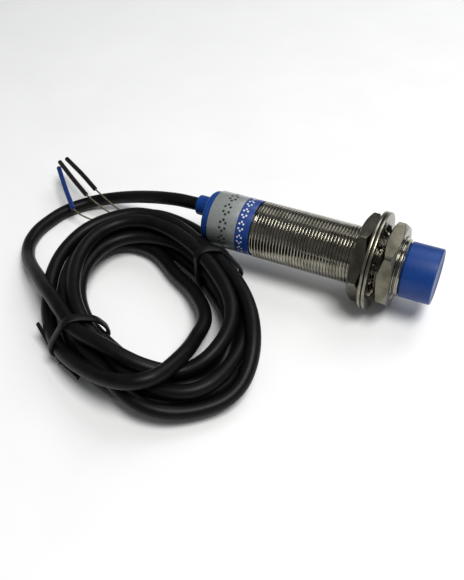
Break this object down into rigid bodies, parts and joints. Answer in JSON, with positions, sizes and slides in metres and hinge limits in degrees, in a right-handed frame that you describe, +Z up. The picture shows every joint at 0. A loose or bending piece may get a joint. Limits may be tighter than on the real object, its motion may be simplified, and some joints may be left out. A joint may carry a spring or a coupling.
{
  "type": "cylindrical inductive proximity sensor",
  "caption": "Threaded-barrel inductive proximity sensor with blue sensing cap, jam nuts, toothed lock washers and a wound pre-wired cable.",
  "frame": {"origin": "on the surface the sensor stands on, below the middle of the sensor's own length, the cable left out", "axes": "+X along the barrel towards the sensing face, +Z up, +Y away from the wound cable"},
  "size_m": [0.1454, 0.0901, 0.03],
  "materials": {
    "nickel": "nickel plated brass, satin with fine machining marks",
    "zinc": "bright plated spring steel",
    "blue_plastic": "moulded blue PBT, satin",
    "label_foil": null,
    "red_lens": "clear red moulding",
    "diode_glass": "amber glass",
    "ferrite": "dark grey sintered ferrite",
    "nylon": "natural nylon",
    "resin": "dark potting resin",
    "copper": "enamelled copper wire",
    "board": "green solder mask",
    "chip_black": "moulded package",
    "ceramic_chip": "ceramic chip",
    "can_aluminium": "aluminium can",
    "cable_pvc": "satin black PVC jacket",
    "tie_plastic": "black plastic-covered tie wire",
    "brown_insulation": "dark brown PVC insulation",
    "black_insulation": "black PVC insulation",
    "blue_insulation": "blue PVC insulation",
    "bare_copper": "tinned stranded copper, dulled"
  },
  "bodies": {
    "root": {"barrel": "nickel", "black_conductor": "black_insulation", "black_slug": "black_insulation", "black_strand": "bare_copper", "blue_conductor": "blue_insulation", "blue_slug": "blue_insulation", "blue_strand": "bare_copper", "brown_conductor": "brown_insulation", "brown_slug": "brown_insulation", "brown_strand": "bare_copper", "cable_coil": "cable_pvc", "cable_jacket_end": "cable_pvc", "cable_lead": "cable_pvc", "cable_tail": "cable_pvc", "capacitor_1": "ceramic_chip", "capacitor_2": "ceramic_chip", "circuit_board": "board", "coil_bobbin": "nylon", "coil_lead_a": "copper", "coil_lead_b": "copper", "coil_winding": "copper", "core_carrier": "nylon", "crimp_ring": "zinc", "ferrite_core": "ferrite", "indicator_led": "red_lens", "label": "label_foil", "led_window": "red_lens", "oscillator_chip": "chip_black", "output_transistor": "chip_black", "potting_plug": "resin", "protection_diode": "diode_glass", "rear_cap": "blue_plastic", "resistor_1": "chip_black", "resistor_2": "chip_black", "resistor_3": "chip_black", "sensing_cap": "blue_plastic", "smoothing_capacitor": "can_aluminium", "tie_front": "tie_plastic", "tie_rear": "tie_plastic"},
    "rear_washer": {"rear_lock_washer": "zinc"},
    "rear_nut": {"rear_nut": "nickel"},
    "front_washer": {"front_lock_washer": "zinc"},
    "front_nut": {"front_nut": "nickel"}
  },
  "joints": [
    {"name": "rear_nut_travel", "type": "slide", "parent": "root", "child": "rear_washer", "axis": [1, 0, 0], "range_m": [-0.0301, 0]},
    {"name": "rear_nut_turn", "type": "hinge", "parent": "rear_washer", "child": "rear_nut", "pos_m": [0.0183, 0, 0.015], "axis": [1, 0, 0], "range_deg": [-10800, 0]},
    {"name": "front_nut_travel", "type": "slide", "parent": "root", "child": "front_washer", "axis": [1, 0, 0], "range_m": [0, 0.0041]},
    {"name": "front_nut_turn", "type": "hinge", "parent": "front_washer", "child": "front_nut", "pos_m": [0.0267, 0, 0.015], "axis": [1, 0, 0], "range_deg": [0, 1440]}
  ],
  "couplings": [
    {"joint": "rear_nut_travel", "follows": "rear_nut_turn", "m_per_rad": 0.00015915},
    {"joint": "front_nut_travel", "follows": "front_nut_turn", "m_per_rad": 0.00015915}
  ]
}
